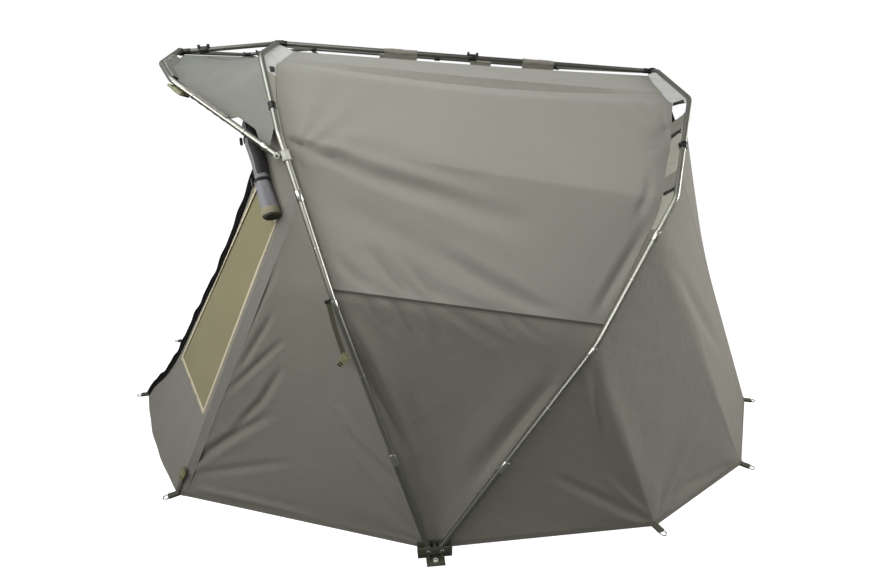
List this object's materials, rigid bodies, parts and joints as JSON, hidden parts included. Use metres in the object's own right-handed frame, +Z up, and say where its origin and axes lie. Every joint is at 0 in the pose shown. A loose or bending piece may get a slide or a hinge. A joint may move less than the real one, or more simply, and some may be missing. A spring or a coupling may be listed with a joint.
{
  "type": "bivvy tent",
  "caption": "Folding bivvy shelter: hinged arch ribs, hood rib and roof bars over taut grey-green fabric, mesh side windows and a rolled door.",
  "frame": {"origin": "on the ground, in the middle of the tent's length and width", "axes": "+Z up, -X out of the door, -Y to the near side; symmetric about Y = 0"},
  "size_m": [2.9178, 2.85, 1.573],
  "materials": {
    "aluminium": "satin anodised tube",
    "black_plastic": "black moulded",
    "gusset_fabric": "light grey webbing cloth",
    "hub": "dark olive moulded",
    "mesh": "fine khaki mesh",
    "olive_plastic": "olive moulded",
    "roof_fabric": "coated grey-green ripstop",
    "steel": "plain steel",
    "wall_fabric": "coated dark taupe ripstop",
    "webbing": "dark olive webbing",
    "zip": "black coil zip tape"
  },
  "bodies": {
    "shell": {"hub_near": "hub", "hub_pins_near": "steel", "hub_far": "hub", "hub_pins_far": "steel", "canopy": "roof_fabric", "lower_side_near": "wall_fabric", "front_panel_near": "wall_fabric", "mesh_window_near": "mesh", "rear_side_near": "wall_fabric", "lower_side_far": "wall_fabric", "front_panel_far": "wall_fabric", "mesh_window_far": "mesh", "rear_side_far": "wall_fabric", "rear_middle": "wall_fabric", "peak_canopy": "roof_fabric", "door_roll": "wall_fabric", "zip_near": "zip", "gusset_front_near": "gusset_fabric", "gusset_rear_near": "gusset_fabric", "peak_pocket_near": "gusset_fabric", "peg_tab_front_near": "webbing", "peg_tab_door_near": "webbing", "peg_tab_side_near": "webbing", "peg_tab_quarter_near": "webbing", "peg_tab_rear_near": "webbing", "zip_far": "zip", "gusset_front_far": "gusset_fabric", "gusset_rear_far": "gusset_fabric", "peak_pocket_far": "gusset_fabric", "peg_tab_front_far": "webbing", "peg_tab_door_far": "webbing", "peg_tab_side_far": "webbing", "peg_tab_quarter_far": "webbing", "peg_tab_rear_far": "webbing"},
    "front_rib": {"front_rib_arch": "aluminium", "front_rib_leg_near": "aluminium", "front_rib_leg_far": "aluminium", "peak_bracket_near": "black_plastic", "peak_bracket_far": "black_plastic"},
    "rear_rib": {"rear_rib_arch": "aluminium", "rear_rib_leg_near": "aluminium", "rear_rib_leg_far": "aluminium"},
    "peak_rib": {"peak_rib": "aluminium", "peak_buckle_near": "olive_plastic", "peak_buckle_far": "olive_plastic"},
    "ridge_bar_near": {"ridge_bar_near": "aluminium", "ridge_clip_near": "black_plastic", "sleeve_front_near": "wall_fabric", "sleeve_rear_near": "wall_fabric"},
    "peak_bar_near": {"peak_bar_near": "aluminium", "peak_clip_near": "black_plastic"},
    "zip_slider_near": {"zip_slider_near": "steel"},
    "ridge_bar_far": {"ridge_bar_far": "aluminium", "ridge_clip_far": "black_plastic", "sleeve_front_far": "wall_fabric", "sleeve_rear_far": "wall_fabric"},
    "peak_bar_far": {"peak_bar_far": "aluminium", "peak_clip_far": "black_plastic"},
    "zip_slider_far": {"zip_slider_far": "steel"}
  },
  "joints": [
    {"name": "front_rib_fold", "type": "hinge", "parent": "shell", "child": "front_rib", "pos_m": [-0.162, 0, 0.028], "axis": [0, 1, 0], "range_deg": [0, 22], "deforming": ["canopy", "lower_side_near", "front_panel_near", "mesh_window_near", "rear_side_near", "lower_side_far", "front_panel_far", "mesh_window_far", "rear_side_far", "rear_middle", "door_roll", "zip_near", "gusset_front_near", "gusset_rear_near", "zip_far", "gusset_front_far", "gusset_rear_far"]},
    {"name": "rear_rib_fold", "type": "hinge", "parent": "shell", "child": "rear_rib", "pos_m": [-0.118, 0, 0.028], "axis": [0, -1, 0], "range_deg": [0, 22]},
    {"name": "peak_rib_fold", "type": "hinge", "parent": "front_rib", "child": "peak_rib", "pos_m": [-0.53819, 0, 1.26322], "axis": [0, 1, 0], "range_deg": [0, 38], "deforming": ["peak_canopy", "peak_pocket_near", "peak_pocket_far"]},
    {"name": "ridge_bar_swing_near", "type": "hinge", "parent": "rear_rib", "child": "ridge_bar_near", "pos_m": [0.76072, -0.585, 1.45635], "axis": [0, 1, 0], "range_deg": [0, 88]},
    {"name": "ridge_bar_swing_far", "type": "hinge", "parent": "rear_rib", "child": "ridge_bar_far", "pos_m": [0.76072, 0.585, 1.45635], "axis": [0, 1, 0], "range_deg": [0, 88]},
    {"name": "peak_bar_swing_near", "type": "hinge", "parent": "peak_rib", "child": "peak_bar_near", "pos_m": [-0.93638, -0.545, 1.50723], "axis": [0, -1, 0], "range_deg": [0, 76]},
    {"name": "peak_bar_swing_far", "type": "hinge", "parent": "peak_rib", "child": "peak_bar_far", "pos_m": [-0.93638, 0.545, 1.50723], "axis": [0, -1, 0], "range_deg": [0, 76]},
    {"name": "zip_slider_slide_near", "type": "slide", "parent": "shell", "child": "zip_slider_near", "axis": [0.4732, -0.4598, 0.7514], "range_m": [0, 1.24]},
    {"name": "zip_slider_slide_far", "type": "slide", "parent": "shell", "child": "zip_slider_far", "axis": [0.4732, 0.4598, 0.7514], "range_m": [0, 1.24]}
  ],
  "couplings": [
    {"joint": "rear_rib_fold", "follows": "front_rib_fold", "ratio": 1},
    {"joint": "ridge_bar_swing_near", "follows": "front_rib_fold", "ratio": 4},
    {"joint": "ridge_bar_swing_far", "follows": "front_rib_fold", "ratio": 4},
    {"joint": "peak_bar_swing_near", "follows": "peak_rib_fold", "ratio": 2},
    {"joint": "peak_bar_swing_far", "follows": "peak_rib_fold", "ratio": 2}
  ]
}
